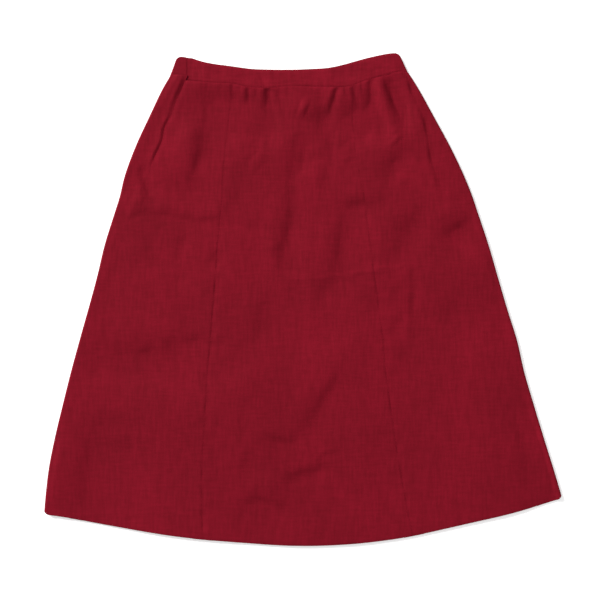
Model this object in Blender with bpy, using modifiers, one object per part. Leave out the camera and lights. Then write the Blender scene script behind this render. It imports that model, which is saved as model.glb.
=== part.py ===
"""An a-line skirt laid flat on a table, front side up: three front panels, a back panel
that wraps a little way round both sides, a waistband closed at one side, and a pocket in each
side seam. Metres, +Z up, the waist towards +Y. The names left and right are as seen from above.
"""

import math
from collections import namedtuple

import bmesh
import bpy

MM = 0.001  # the sizes below are in millimetres

# Driving dimensions
OVERALL_LENGTH = 738.0  # waistband's highest point to the lowest point of the hem
CLOTH = 1.2  # panel cloth
BAG_CLOTH = 1.0  # pocket lining
BAND = 1.6  # the waistband is two layers of cloth, pressed hard
SEAM_GAP = 0.6  # between neighbouring pieces in the plane of the cloth
LAYER_GAP = 0.3  # between pieces that lie on each other
BAG_GAP = 0.7  # inside a pocket bag
SIDE_RADIUS = 3.0  # outer radius of the soft fold at each side
BAND_RADIUS = 3.0
HEM_CORNER = 6.0  # how much an edge gives way where it meets a side fold, seen from above
BAND_CORNER = 4.0
FRONT_HEIGHT = 4.2  # outer face of the front over the table, where no fold crosses it
BAND_HEIGHT = 4.4
LOWEST_FRONT = 2 * CLOTH + LAYER_GAP + 0.05
HIGHEST_FRONT = 2 * CLOTH + 3.8
BACK_STEP = 1.5  # the back's edges stay this far inside the front's, just out of sight

# Pocket mouths, as distances below the band's highest point
MOUTH_TOP = 30.0
MOUTH_END = 182.0
MOUTH_GAPE = 1.0
MOUTH_LIFT = 0.7
BAG_WIDTH = 118.0
BAG_TOP = 52.0
BAG_LENGTH = 185.0
BAG_EDGE_BLEND = 34.0

# Closure of the waistband, over the left pocket
BAND_END_X = -173.0
UNDERLAP = 28.0
OVERLAP_HEIGHT = 7.1
UNDERLAP_HEIGHT = 3.9
OVERLAP_BLEND = 46.0
FASTENER = 0.8

# Outline of the skirt: drop is the distance below the band's highest point, left and right are
# how far each side fold stands from the centre line.
Side = namedtuple("Side", "drop left right")
SIDES = [
    Side(0, 187.5, 145),
    Side(27, 197, 157.5),
    Side(34, 199.5, 162.5),
    Side(45, 206, 169.5),
    Side(94, 230, 197),
    Side(142, 252, 223),
    Side(190, 269, 245.5),
    Side(214, 274.5, 255),
    Side(238, 282, 263),
    Side(286, 297, 279),
    Side(334, 308.5, 293),
    Side(382, 321.5, 307),
    Side(430, 335, 322),
    Side(478, 348, 333),
    Side(526, 360, 347),
    Side(574, 371.5, 361.5),
    Side(622, 381, 376.5),
    Side(664, 386, 389),
    Side(688, 388, 396),
    Side(740, 392, 413),
]

# How far each side seam lies forward of its fold.
Roll = namedtuple("Roll", "drop left right")
ROLLS = [
    Roll(20, 23, 3),
    Roll(45, 24.5, 9),
    Roll(60, 26.5, 13),
    Roll(85, 29, 14.5),
    Roll(105, 30.5, 18),
    Roll(125, 32, 25.5),
    Roll(145, 33, 33),
    Roll(165, 32.5, 39),
    Roll(190, 31, 41),
    Roll(215, 29, 38),
    Roll(250, 26, 32),
    Roll(310, 24, 29),
    Roll(370, 26, 32),
    Roll(450, 31, 34),
    Roll(560, 40, 32),
    Roll(640, 42, 26),
    Roll(740, 42, 22),
]

# Curved edges that run across the waist: x is the distance from the centre line.
Edge = namedtuple("Edge", "x drop")
FRONT_TOP = [
    Edge(-198, 6), Edge(-178, 4.5), Edge(-166, 7.5), Edge(-154, 11.5), Edge(-139, 15), Edge(-109, 19),
    Edge(-80, 23), Edge(-35, 24.5), Edge(12, 23.5), Edge(44, 21), Edge(62, 17), Edge(80, 12),
    Edge(98, 7), Edge(116, 3), Edge(134, 0), Edge(154, 0.5),
]
FRONT_SEAM = [
    Edge(-205, 38), Edge(-166, 41), Edge(-130, 44), Edge(-106, 45), Edge(-82, 50), Edge(-58, 51.5),
    Edge(-20, 49), Edge(35, 50), Edge(74, 48), Edge(90, 42), Edge(122, 33), Edge(145, 27), Edge(165, 27),
]
BACK_TOP = [
    Edge(-198, 5.5), Edge(-178, 5.5), Edge(-155, 13), Edge(-40, 26), Edge(45, 23), Edge(100, 9),
    Edge(135, 1), Edge(154, 0.5),
]
BACK_SEAM = [
    Edge(-205, 31), Edge(-178, 32), Edge(-125, 41), Edge(-40, 49), Edge(50, 47), Edge(105, 36),
    Edge(145, 27.5), Edge(165, 27),
]

# The hem: share is 0 at the left fold and 1 at the right one.
Hem = namedtuple("Hem", "share drop")
HEM = [
    Hem(0.00, 691), Hem(0.03, 694), Hem(0.11, 705.5), Hem(0.26, 725), Hem(0.38, 734), Hem(0.46, 738),
    Hem(0.54, 737.5), Hem(0.65, 729.5), Hem(0.80, 706), Hem(0.92, 684.5), Hem(0.98, 671), Hem(1.00, 667),
]

# The two long front seams, as shares of the width at that row.
Seam = namedtuple("Seam", "row left right")
FRONT_SEAMS = [
    Seam(0.00, 0.270, 0.748),
    Seam(0.05, 0.279, 0.722),
    Seam(0.12, 0.287, 0.704),
    Seam(0.25, 0.296, 0.700),
    Seam(0.50, 0.299, 0.698),
    Seam(0.75, 0.304, 0.698),
    Seam(1.00, 0.301, 0.696),
]

# Soft folds of the front: a ridge where height is positive, a trough where it is negative.
Fold = namedtuple("Fold", "name x_from drop_from x_to drop_to width height")
FOLDS = [
    Fold("left hip puff", -154, 67, -196, 165, 20, 0.8),
    Fold("left hip trough", -136, 82, -169, 214, 10, -1.2),
    Fold("left pocket end", -251, 191, -233, 216, 7, -1.4),
    Fold("ridge under left pocket", -262, 227, -228, 231, 7, 0.9),
    Fold("left cross crease", -270, 241, -116, 253, 8, -0.7),
    Fold("left pressing line", -274, 434, -139, 441, 13, -0.8),
    Fold("left side trough", -298, 355, -318, 540, 10, -0.9),
    Fold("left hem trough", -317, 527, -345, 688, 10, -1.4),
    Fold("long centre trough", 0, 137, -26, 307, 12, -1.0),
    Fold("centre ridge", 23, 190, -1, 370, 13, 0.8),
    Fold("right of centre trough", 70, 238, 25, 377, 11, -1.0),
    Fold("middle hollow", -61, 377, -73, 452, 12, -0.7),
    Fold("lower slanting crease", 49, 482, -3, 568, 9, -1.3),
    Fold("lower cross crease", -4, 571, -58, 577, 8, -1.0),
    Fold("short hem crease", -19, 637, 44, 610, 8, -1.2),
    Fold("hem dimple", -79, 674, -31, 679, 10, -0.8),
    Fold("right hip pleat", 121, 30, 149, 108, 8, -1.5),
    Fold("right waist hollow", 98, 58, 104, 112, 9, -0.8),
    Fold("right hip puff", 168, 80, 182, 160, 12, 0.7),
    Fold("right hip hollow", 123, 130, 146, 178, 11, -0.8),
    Fold("right cross crease", 49, 224, 122, 215, 8, -0.7),
    Fold("right pocket hollow", 240, 247, 216, 267, 9, -1.4),
    Fold("ridge under right pocket", 208, 296, 260, 287, 13, 0.8),
    Fold("right slanting hollow", 173, 244, 137, 298, 11, -0.8),
    Fold("right upright crease", 158, 340, 169, 445, 8, -0.8),
    Fold("right seam tick", 136, 395, 122, 419, 7, -0.8),
    Fold("right side trough", 258, 295, 264, 372, 9, -0.8),
    Fold("right hem trough", 296, 467, 367, 662, 11, -1.2),
]

# Gathers eased into the waist seam: where each starts, how far it leans and how far it runs down.
Gather = namedtuple("Gather", "x lean run width depth")
GATHERS = [
    Gather(-106, -2, 36, 4.5, 0.7),
    Gather(-87, 0, 32, 4.5, 1.0),
    Gather(-56, 2, 42, 4.5, 1.4),
    Gather(17, 5, 52, 6.5, 0.7),
    Gather(50, -16, 50, 4.5, 1.4),
    Gather(62, 6, 30, 4.0, 1.0),
    Gather(75, 8, 38, 4.0, 1.2),
]


def smooth_step(low, high, value):
    share = min(1.0, max(0.0, (value - low) / (high - low)))
    return share * share * (3.0 - 2.0 * share)


def mix(a, b, share):
    return a + (b - a) * share


def along(table, key, column, value):
    """A smooth curve through one column of a table, read at value of its key column."""
    last = len(table) - 1
    keys = [getattr(row, key) for row in table]
    points = [getattr(row, column) for row in table]
    i = max(0, min(last - 1, sum(1 for k in keys if k <= value) - 1))

    def slope(j):
        low, high = max(0, j - 1), min(last, j + 1)
        return (points[high] - points[low]) / (keys[high] - keys[low])

    width = keys[i + 1] - keys[i]
    t = min(1.0, max(0.0, (value - keys[i]) / width))
    return (
        (2 * t**3 - 3 * t**2 + 1) * points[i]
        + (t**3 - 2 * t**2 + t) * width * slope(i)
        + (3 * t**2 - 2 * t**3) * points[i + 1]
        + (t**3 - t**2) * width * slope(i + 1)
    )


def left_x(drop):
    return -along(SIDES, "drop", "left", drop)


def right_x(drop):
    return along(SIDES, "drop", "right", drop)


def rounded_corner(inset, depth):
    """How much an edge gives way this far in from a side fold, so that the corner is rounded."""
    return depth * max(0.0, 1.0 - inset / (2.0 * depth)) ** 2


def skirt_x(share, drop):
    return mix(left_x(drop), right_x(drop), share)


def seam_drop(share, seam):
    """Drop of the waist seam at a share of the width: the seam's table goes by x."""
    drop = 40.0
    for _ in range(4):
        drop = along(seam, "x", "drop", skirt_x(share, drop))
    return drop


def skirt_drop(share, row, seam, back=False):
    """Drop of a point of the skirt: row is 0 at the waist seam and 1 at the hem."""
    width = along(SIDES, "drop", "left", 680) + along(SIDES, "drop", "right", 680)
    inset = min(share, 1.0 - share) * width
    hem = along(HEM, "share", "drop", share) - rounded_corner(inset, HEM_CORNER)
    top = seam_drop(share, seam) + SEAM_GAP
    if back:
        hem -= BACK_STEP * smooth_step(10, 60, inset)
        top += BACK_STEP * smooth_step(2, 12, inset)
    return mix(top, hem, row)


def fold_relief(fold, x, drop):
    """Height that one soft fold adds at a point: a bell across it, fading towards its ends."""
    run_x, run_drop = fold.x_to - fold.x_from, fold.drop_to - fold.drop_from
    length = math.hypot(run_x, run_drop)
    share = ((x - fold.x_from) * run_x + (drop - fold.drop_from) * run_drop) / length**2
    nearest = min(1.0, max(0.0, share))
    away = math.hypot(x - fold.x_from - nearest * run_x, drop - fold.drop_from - nearest * run_drop)
    fade = 0.35 + 0.65 * math.sin(math.pi * nearest)
    return fold.height * fade * math.exp(-((away / fold.width) ** 2))


def gather_relief(gather, x, below_seam):
    """Each gather is a short trough with a low ridge on each side of it."""
    share = below_seam / gather.run
    away = (x - gather.x - gather.lean * share) / gather.width
    bell = math.exp(-(away**2))
    ridge = math.exp(-((abs(away) - 1.6) ** 2))
    return gather.depth * (0.5 * ridge - bell) * (1.0 - smooth_step(0.35, 1.15, share))


def bag_plateau(drop, inset, roll):
    """1 over a pocket bag and 0 away from it, so that the front lies over the bag."""
    over = smooth_step(roll - 15, roll, inset)
    over *= 1.0 - smooth_step(roll + BAG_WIDTH + 2, roll + BAG_WIDTH + 2 + BAG_EDGE_BLEND, inset)
    end = BAG_TOP + BAG_LENGTH
    over *= smooth_step(BAG_TOP - 26, BAG_TOP - 2, drop)
    return over * (1.0 - smooth_step(end + 2, end + 2 + BAG_EDGE_BLEND, drop))


def front_height(x, drop):
    """Height of the outer face of the front, over both its panels and the strips of the back."""
    inset_left, inset_right = x - left_x(drop), right_x(drop) - x
    inset = min(inset_left, inset_right)
    inner = smooth_step(SIDE_RADIUS, 22, inset)
    height = mix(2 * SIDE_RADIUS, FRONT_HEIGHT, inner)
    height += smooth_step(SIDE_RADIUS, 12, inset) * sum(fold_relief(f, x, drop) for f in FOLDS)
    below_seam = drop - along(FRONT_SEAM, "x", "drop", x)
    height += sum(gather_relief(g, x, below_seam) for g in GATHERS)
    height = min(HIGHEST_FRONT, max(LOWEST_FRONT, height))
    bag_top = 2 * CLOTH + 2 * LAYER_GAP + 2 * BAG_CLOTH + BAG_GAP + 0.05
    for side_inset, side in ((inset_left, "left"), (inset_right, "right")):
        over = bag_plateau(drop, side_inset, along(ROLLS, "drop", side, drop))
        height = max(height, mix(height, bag_top + 0.12 * (height - LOWEST_FRONT), over))
    return height


def mouth(drop):
    """1 along the middle of a pocket mouth, 0 above and below it."""
    return smooth_step(MOUTH_TOP - 6, MOUTH_TOP + 24, drop) * (
        1.0 - smooth_step(MOUTH_END - 26, MOUTH_END, drop)
    )


def side_seam_share(row, side):
    """Where the side front panel ends, as a share of the width."""
    share = 0.08 if side == "left" else 0.92
    for _ in range(4):
        drop = skirt_drop(share, row, FRONT_SEAM)
        inset = along(ROLLS, "drop", side, drop) + SEAM_GAP / 2 + MOUTH_GAPE * mouth(drop)
        inset_share = inset / (right_x(drop) - left_x(drop))
        share = inset_share if side == "left" else 1.0 - inset_share
    return share


def graded_row(b):
    """Rows from the hem (b = 0) up to the waist (b = 1), closer together near the waist."""
    return (1.0 - b) ** 1.7


def front_point(share, row, lift=0.0):
    drop = skirt_drop(share, row, FRONT_SEAM)
    x = skirt_x(share, drop)
    return x, drop, front_height(x, drop) + lift


def centre_front_point(a, b):
    row = graded_row(b)
    left = along(FRONT_SEAMS, "row", "left", row)
    right = along(FRONT_SEAMS, "row", "right", row)
    half_gap = SEAM_GAP / 2 / (right_x(300) - left_x(300))
    return front_point(mix(left + half_gap, right - half_gap, a), row)


def side_front_point(side):
    def place(a, b):
        row = graded_row(b)
        half_gap = SEAM_GAP / 2 / (right_x(300) - left_x(300))
        outer = side_seam_share(row, side)
        if side == "left":
            share = mix(outer, along(FRONT_SEAMS, "row", "left", row) - half_gap, a)
            from_mouth = a
        else:
            share = mix(along(FRONT_SEAMS, "row", "right", row) + half_gap, outer, a)
            from_mouth = 1.0 - a
        drop = skirt_drop(share, row, FRONT_SEAM)
        lift = MOUTH_LIFT * mouth(drop) * (1.0 - smooth_step(0.0, 0.12, from_mouth))
        return front_point(share, row, lift)

    return place


def side_path(s, radius):
    """Inset and height at path distance s from a fold's outermost line: s is positive over the
    top and negative underneath. The height is None where the front's own surface gives it."""
    quarter = math.pi * radius / 2
    if s > quarter:
        return radius + s - quarter, None
    if s < -quarter:
        return radius - s - quarter, 0.0
    return radius - radius * math.cos(s / radius), radius + radius * math.sin(s / radius)


WRAP = 0.36  # share of the back's columns that go round each side
WRAP_GRADING = 1.9  # crowds those columns into the fold


def back_point(a, b):
    """The back starts on the front at the right side seam, goes round the right fold, across
    the table and round the left fold to the left side seam."""
    row = graded_row(b)
    quarter = math.pi * SIDE_RADIUS / 2
    side = "right" if a < 0.5 else "left"
    end_share = 1.0 if side == "right" else 0.0
    outward = min(a, 1.0 - a) / WRAP
    edge_drop = skirt_drop(end_share, row, BACK_SEAM, back=True)
    width = right_x(edge_drop) - left_x(edge_drop)
    if outward >= 1.0:
        start = SIDE_RADIUS / width
        share = mix(1.0 - start, start, (a - WRAP) / (1.0 - 2 * WRAP))
        drop = skirt_drop(share, row, BACK_SEAM, back=True)
        return skirt_x(share, drop), drop, 0.0
    roll = along(ROLLS, "drop", side, edge_drop) - SEAM_GAP / 2
    top = roll - SIDE_RADIUS + quarter
    s = mix(-quarter, top, (1.0 - outward) ** WRAP_GRADING)
    inset, height = side_path(s, SIDE_RADIUS)
    share = abs(end_share - inset / width)
    drop = skirt_drop(share, row, BACK_SEAM, back=True)
    # At the seam the edge follows the roll of its own drop, so that it stays beside the front.
    own_roll = along(ROLLS, "drop", side, drop) - SEAM_GAP / 2
    inset += (own_roll - roll) * smooth_step(SIDE_RADIUS, roll, inset)
    x = right_x(drop) - inset if side == "right" else left_x(drop) + inset
    if height is None:
        tuck = mouth(drop) * smooth_step(own_roll - 9, own_roll - 1, inset)
        plain = front_height(x, drop)
        height = mix(plain, 2 * CLOTH + 2 * LAYER_GAP + BAG_CLOTH, tuck)
    return x, drop, height


def band_point(a, b):
    """The band starts at its free end on the front, goes right, round the right fold, back under
    the front, round the left fold and ends as the underlap below its own start."""
    left = mix(left_x(31), left_x(8), b)
    right = mix(right_x(27), right_x(5), b)
    quarter = math.pi * BAND_RADIUS / 2
    front_run = right - BAND_RADIUS - BAND_END_X
    under_run = right - left - 2 * BAND_RADIUS
    strip_run = BAND_END_X + UNDERLAP - left - BAND_RADIUS
    sections = [
        (26, front_run),
        (6, 2 * quarter),
        (12, under_run),
        (6, 2 * quarter),
        (10, strip_run),
    ]
    column = a * sum(count for count, _ in sections)
    part = 0
    while part < len(sections) - 1 and column > sections[part][0] + 1e-6:
        column -= sections[part][0]
        part += 1
    run = sections[part][1] * column / sections[part][0]
    if part == 0:
        x = BAND_END_X + run
        height = mix(OVERLAP_HEIGHT, BAND_HEIGHT, smooth_step(UNDERLAP, UNDERLAP + OVERLAP_BLEND, run))
        height = mix(height, 2 * BAND_RADIUS, smooth_step(30, 0, front_run - run))
    elif part == 1:
        turn = run / BAND_RADIUS
        x = right - BAND_RADIUS + BAND_RADIUS * math.sin(turn)
        height = BAND_RADIUS + BAND_RADIUS * math.cos(turn)
    elif part == 2:
        x = right - BAND_RADIUS - run
        height = 0.0
    elif part == 3:
        turn = run / BAND_RADIUS
        x = left + BAND_RADIUS - BAND_RADIUS * math.sin(turn)
        height = BAND_RADIUS - BAND_RADIUS * math.cos(turn)
    else:
        x = left + BAND_RADIUS + run
        height = mix(2 * BAND_RADIUS, UNDERLAP_HEIGHT, smooth_step(0, 16, run))
    inset = max(0.0, min(x - left, right - x))
    front = part <= 1 and not (part == 1 and run > quarter)
    top_table, seam_table = (FRONT_TOP, FRONT_SEAM) if front else (BACK_TOP, BACK_SEAM)
    top = along(top_table, "x", "drop", x) + rounded_corner(inset, BAND_CORNER)
    if part == 2:
        top += BACK_STEP * smooth_step(10, 60, inset)
    seam = along(seam_table, "x", "drop", x)
    if part == 0:
        top += 0.6 * smooth_step(12, 0, run)
    return x, mix(seam, top, b), height


def bag_surface_point(side):
    """A pocket bag is one strip of lining folded in half along its inner edge: the first half of
    the columns is the layer under the front, the second half the layer over the back."""
    lower = CLOTH + LAYER_GAP
    upper = lower + 2 * BAG_CLOTH + BAG_GAP
    bend = (upper - lower) / 2
    straight = BAG_WIDTH - bend

    def place(a, b):
        top_column = 6 / 18
        if a <= top_column:
            inset, height = straight * a / top_column, upper
        elif a >= 1.0 - top_column:
            inset, height = straight * (1.0 - a) / top_column, lower
        else:
            turn = math.pi * (a - top_column) / (1.0 - 2 * top_column)
            inset = straight + bend * math.sin(turn)
            height = (upper + lower) / 2 + bend * math.cos(turn)
        drop = BAG_TOP + BAG_LENGTH * (1.0 - b)
        # The lower edge rises towards the side seam.
        drop -= 34 * (1.0 - b) ** 3 * (1.0 - smooth_step(0, 46, inset))
        edge = along(ROLLS, "drop", side, drop) + MOUTH_GAPE * mouth(drop) + 1.2
        x = left_x(drop) + edge + inset if side == "left" else right_x(drop) - edge - inset
        return x, drop, height

    return place


def cloth_material(name, colour, roughness, metallic=0.0):
    material = bpy.data.materials.new(name)
    material.use_nodes = True
    shader = material.node_tree.nodes["Principled BSDF"]
    shader.inputs["Base Color"].default_value = (*colour, 1.0)
    shader.inputs["Roughness"].default_value = roughness
    shader.inputs["Metallic"].default_value = metallic
    return material


def in_frame(x, drop, height):
    return x * MM, (OVERALL_LENGTH / 2 - drop) * MM, height * MM


def sewn_sheet(name, columns, rows, place, thickness, material, collection, flip=False):
    """A wall of cloth: a grid shaped by place(a, b), thickened inwards from its outer face."""
    mesh = bpy.data.meshes.new(name)
    bm = bmesh.new()
    bmesh.ops.create_grid(bm, x_segments=columns, y_segments=rows, size=0.5)
    for vertex in bm.verts:
        vertex.co = in_frame(*place(vertex.co.x + 0.5, vertex.co.y + 0.5))
    if flip:
        bmesh.ops.reverse_faces(bm, faces=bm.faces)
    bm.to_mesh(mesh)
    bm.free()
    mesh.shade_smooth()
    mesh.materials.append(material)
    sheet = bpy.data.objects.new(name, mesh)
    collection.objects.link(sheet)
    wall = sheet.modifiers.new("wall", "SOLIDIFY")
    wall.thickness = thickness * MM
    wall.offset = -1.0
    wall.use_even_offset = True
    return sheet


def plate(name, centre, size, material, collection):
    """A small flat metal piece with rounded edges."""
    mesh = bpy.data.meshes.new(name)
    bm = bmesh.new()
    bmesh.ops.create_cube(bm, size=1.0)
    for vertex in bm.verts:
        vertex.co = [c * s * MM for c, s in zip(vertex.co, size)]
    bm.to_mesh(mesh)
    bm.free()
    mesh.materials.append(material)
    metal = bpy.data.objects.new(name, mesh)
    metal.location = in_frame(*centre)
    collection.objects.link(metal)
    edge = metal.modifiers.new("edge", "BEVEL")
    edge.width = 0.2 * MM
    edge.segments = 1
    return metal


def main():
    for old in list(bpy.data.objects):
        bpy.data.objects.remove(old)
    skirt = bpy.data.collections.new("a_line_skirt")
    bpy.context.scene.collection.children.link(skirt)

    wool = cloth_material("red wool crepe", (0.21, 0.008, 0.018), 0.85)
    lining = cloth_material("red cotton lining", (0.16, 0.008, 0.014), 0.8)
    steel = cloth_material("nickel plated steel", (0.62, 0.60, 0.57), 0.3, 1.0)

    sewn_sheet("centre_front", 30, 26, centre_front_point, CLOTH, wool, skirt)
    for side in ("left", "right"):
        sewn_sheet(f"side_front_{side}", 12, 26, side_front_point(side), CLOTH, wool, skirt)
        sewn_sheet(
            f"pocket_bag_{side}", 18, 6, bag_surface_point(side), BAG_CLOTH, lining, skirt,
            flip=side == "right",
        )
    sewn_sheet("back_panel", 32, 26, back_point, CLOTH, wool, skirt)
    sewn_sheet("waistband", 60, 3, band_point, BAND, wool, skirt)

    fastener_drop = 22.0
    fastener_height = UNDERLAP_HEIGHT + LAYER_GAP + FASTENER / 2
    plate("waist_hook", (BAND_END_X + 9, fastener_drop, fastener_height), (8, 9, FASTENER), steel, skirt)
    plate("waist_bar", (BAND_END_X + 16, fastener_drop, fastener_height), (2.5, 12, FASTENER), steel, skirt)


main()
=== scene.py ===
# %% [markdown]
# # An a-line skirt, laid flat
#
# The imported model gives the solids: a back panel, three front panels, a waistband, two pocket
# bags and the hook that closes the band. They have the right outline and the right layers, but
# their cloth is thick and smooth. Here each one gets a thin cloth of its own, in the same place,
# with the creases, gathers and seams that make it look like a worn wool skirt.
#
# We start with the frame.

# %% Load the frame
import math
from collections import namedtuple

import bpy
import numpy as np
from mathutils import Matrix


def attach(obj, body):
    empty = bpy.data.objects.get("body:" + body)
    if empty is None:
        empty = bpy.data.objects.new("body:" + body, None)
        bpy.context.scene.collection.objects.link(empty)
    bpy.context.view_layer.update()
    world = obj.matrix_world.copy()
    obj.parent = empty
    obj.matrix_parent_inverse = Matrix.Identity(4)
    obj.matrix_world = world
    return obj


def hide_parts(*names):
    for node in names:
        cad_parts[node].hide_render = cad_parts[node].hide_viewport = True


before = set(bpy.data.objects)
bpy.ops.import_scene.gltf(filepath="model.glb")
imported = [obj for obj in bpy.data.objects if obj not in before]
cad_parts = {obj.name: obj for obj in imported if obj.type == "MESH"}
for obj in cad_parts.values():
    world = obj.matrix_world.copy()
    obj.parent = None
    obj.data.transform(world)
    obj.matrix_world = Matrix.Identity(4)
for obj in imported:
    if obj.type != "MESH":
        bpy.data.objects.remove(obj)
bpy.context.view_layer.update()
print("solids:", sorted(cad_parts))

# %% [markdown]
# ## How the skirt is measured
#
# A dressmaker measures down from the waist and across from the centre line, so we do the same:
# `x` runs across and `drop` runs down from the highest point of the waistband, both in
# millimetres. The half length turns a drop into the frame's y, which is zero at mid-length.

# %% Units and measures
MM = 0.001
HALF_LENGTH = 369.0
SIDE_RADIUS = 2.7
BAND_RADIUS = 2.4
FRONT_HEIGHT = 5.2
BAND_HEIGHT = 5.0


def smooth_step(low, high, value):
    share = np.clip((value - low) / (high - low), 0.0, 1.0)
    return share * share * (3.0 - 2.0 * share)


def mix(a, b, share):
    return a + (b - a) * share


def bell(distance, width):
    return np.exp(-((distance / width) ** 2))


# %% [markdown]
# ## Smooth curves from short tables
#
# An outline is easiest to read as a table: a few rows, each a drop and how far the edge stands
# from the centre line. Straight lines between the rows would show as corners, so we join them
# with cubic pieces whose slopes agree where they meet (a Catmull-Rom curve). It passes through
# every row, which a B-spline wouldn't.


# %% Tables, and a curve through one column of a table
def curve_table(fields, rows):
    """The columns of a table by name, each an array. The first one is what the others go by."""
    return dict(zip(fields.split(), np.array(rows, float).T))


def along(table, column, value):
    keys, points = next(iter(table.values())), table[column]
    slopes = np.gradient(points, keys)
    value = np.clip(value, keys[0], keys[-1])
    i = np.clip(np.searchsorted(keys, value, side="right") - 1, 0, len(keys) - 2)
    width = keys[i + 1] - keys[i]
    t = (value - keys[i]) / width
    return (
        (2 * t**3 - 3 * t**2 + 1) * points[i]
        + (t**3 - 2 * t**2 + t) * width * slopes[i]
        + (3 * t**2 - 2 * t**3) * points[i + 1]
        + (t**3 - t**2) * width * slopes[i + 1]
    )


# %% The two side folds, and how far each side seam has rolled forward of its fold
SIDES = curve_table("drop left right", [
    (0, 187.5, 145), (27, 197, 157.5), (34, 199.5, 162.5), (45, 206, 169.5), (94, 230, 197),
    (142, 252, 223), (190, 269, 245.5), (214, 274.5, 255), (238, 282, 263), (286, 297, 279),
    (334, 308.5, 293), (382, 321.5, 307), (430, 335, 322), (478, 348, 333), (526, 360, 347),
    (574, 371.5, 361.5), (622, 381, 376.5), (664, 386, 389), (688, 388, 396), (740, 392, 413),
])
ROLLS = curve_table("drop left right", [
    (20, 24, 3), (40, 27.5, 7.5), (55, 29.5, 11.8), (70, 30, 14), (85, 31.3, 14.5),
    (95, 32.3, 16), (104, 31, 17.8), (112, 31.5, 20.5), (130, 36.3, 27.5), (154, 35.5, 36),
    (181, 35, 41), (215, 30, 38), (250, 26, 32), (310, 24, 29), (370, 26, 32), (450, 31, 34),
    (560, 40, 32), (640, 42, 26), (740, 42, 22),
])


def left_x(drop):
    return -along(SIDES, "left", drop)


def right_x(drop):
    return along(SIDES, "right", drop)


def panel_width(drop):
    return right_x(drop) - left_x(drop)


print("hem width:", round(float(right_x(664) - left_x(688))), "mm")

# %% [markdown]
# ## The waist and the hem
#
# Laid flat, the band's top edge dips in the middle and the hem bows down, because the panels are
# cut as parts of a ring. The waist edges go by distance from the centre line; the hem goes by
# its share of the width.

# %% Edges that run across
FRONT_TOP = curve_table("x drop", [
    (-198, 6), (-178, 4.5), (-166, 7.5), (-154, 11.5), (-139, 15), (-109, 19), (-80, 23),
    (-35, 24.5), (12, 23.5), (44, 21), (62, 17), (80, 12), (98, 7), (116, 3), (134, 0),
    (154, 0.5),
])
FRONT_SEAM = curve_table("x drop", [
    (-205, 38), (-166, 41), (-130, 44), (-106, 45), (-82, 50), (-58, 51.5), (-20, 49), (35, 50),
    (74, 48), (90, 42), (122, 33), (145, 27), (165, 27),
])
BACK_TOP = curve_table("x drop", [
    (-198, 5.5), (-178, 5.5), (-155, 13), (-40, 26), (45, 23), (100, 9), (135, 1), (154, 0.5),
])
BACK_SEAM = curve_table("x drop", [
    (-205, 31), (-178, 32), (-125, 41), (-40, 49), (50, 47), (105, 36), (145, 27.5), (165, 27),
])
HEM = curve_table("share drop", [
    (0.00, 691), (0.03, 694), (0.11, 705.5), (0.26, 725), (0.38, 734), (0.46, 738), (0.54, 737.5),
    (0.65, 729.5), (0.80, 706), (0.92, 684.5), (0.98, 671), (1.00, 667),
])
FRONT_SEAMS = curve_table("row left right", [
    (0.00, 0.270, 0.748), (0.05, 0.279, 0.722), (0.12, 0.286, 0.700), (0.25, 0.292, 0.694),
    (0.50, 0.2985, 0.6945), (0.75, 0.305, 0.696), (1.00, 0.302, 0.698),
])
NEAR_HEM = 680
HEM_CORNER = 4.2
BAND_CORNER = 4.0
BACK_STEP = 1.5  # how much shorter the back lies than the front, so that it doesn't show


def rounded_corner(inset, depth):
    return depth * np.clip(1.0 - inset / (2.0 * depth), 0.0, None) ** 2


def skirt_x(share, drop):
    return mix(left_x(drop), right_x(drop), share)


def seam_drop(share, seam):
    drop = np.full_like(share, 40.0)
    for _ in range(4):
        drop = along(seam, "drop", skirt_x(share, drop))
    return drop


def skirt_drop(share, row, seam, back=False):
    inset = np.minimum(share, 1.0 - share) * panel_width(NEAR_HEM)
    hem = along(HEM, "drop", share) - rounded_corner(inset, HEM_CORNER)
    top = seam_drop(share, seam)
    if back:
        hem = hem - BACK_STEP * smooth_step(46, 90, inset)
    return mix(top, hem, row)


# %% [markdown]
# ## The shape of a crease
#
# Seen across, a real crease isn't a clean groove. On one side the cloth falls quickly, and there
# it turns away from the light and goes dark. On the other side it comes back up slowly, so it
# brightens only a little. The cloth just before the fall stands up in a low puff. One
# profile function gives all three, and every gather and crease below uses it.


# %% Fall, slow return and puff
PUFF = 0.28  # height of the puff beside a crease of unit depth


def crease_profile(across, slow):
    """Relief of a crease of unit depth: across is the distance from the middle of the fall, in
    widths of the fall, positive on the side that comes back slowly."""
    return PUFF * bell(across + 1.7, 1.2) - bank_profile(across, slow)


def bank_profile(across, slow):
    """Rises from 0 to 1 within two widths, and comes back to 0 slowly."""
    rise = 0.5 + 0.5 * np.tanh(1.6 * across)
    return rise * np.exp(-((np.maximum(across - 0.4, 0.0) / slow) ** 2))


# %% [markdown]
# ## Gathers under the waistband
#
# The panels are a little wider than the band and are eased into it, so the spare cloth stands in
# small gathers. Each starts at the seam, leans a little, and fades out within a few centimetres.
# Between them the cloth sinks more gently, which gives the broad shade under the band. A cloth
# simulation would give gathers somewhere; a table gives them where this skirt has them.

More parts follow.
